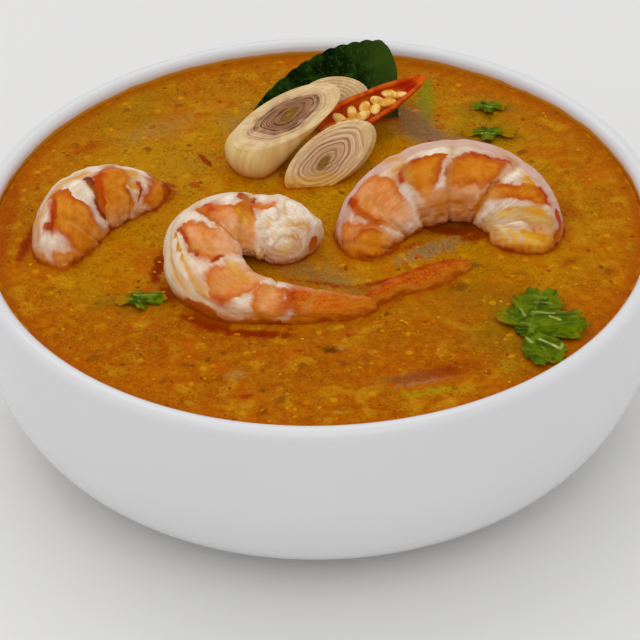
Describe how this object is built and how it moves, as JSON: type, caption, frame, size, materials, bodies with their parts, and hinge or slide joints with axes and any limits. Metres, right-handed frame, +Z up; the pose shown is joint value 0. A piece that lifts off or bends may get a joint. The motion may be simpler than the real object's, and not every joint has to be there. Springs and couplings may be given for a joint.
{
  "type": "bowl of tom yum soup",
  "caption": "Round white porcelain bowl filled with spicy clear broth, with prawns, lemongrass, half a chilli, a lime leaf and coriander on top.",
  "frame": {"origin": "centre of the bowl's foot ring, on the table", "axes": "+Z up out of the bowl, +X to the right and +Y away from the diner"},
  "size_m": [0.175, 0.175, 0.0717],
  "materials": {
    "porcelain": "smooth white glaze",
    "broth": "clear orange broth with chilli oil",
    "prawn": "cooked prawn flesh, moist",
    "lemongrass": "cut lemongrass, fibrous",
    "chilli": "waxy red skin, wet flesh",
    "lime_leaf": "dark green leaf, semi-gloss",
    "coriander": "soft green leaf"
  },
  "bodies": {
    "root": {"bowl": "porcelain", "broth": "broth", "prawn_right": "prawn", "prawn_centre": "prawn", "prawn_left": "prawn", "lemongrass_large": "lemongrass", "lemongrass_small": "lemongrass", "lemongrass_back": "lemongrass", "chilli_half": "chilli", "lime_leaf": "lime_leaf", "coriander_right": "coriander", "coriander_left": "coriander", "coriander_back_a": "coriander", "coriander_back_b": "coriander"}
  },
  "joints": []
}
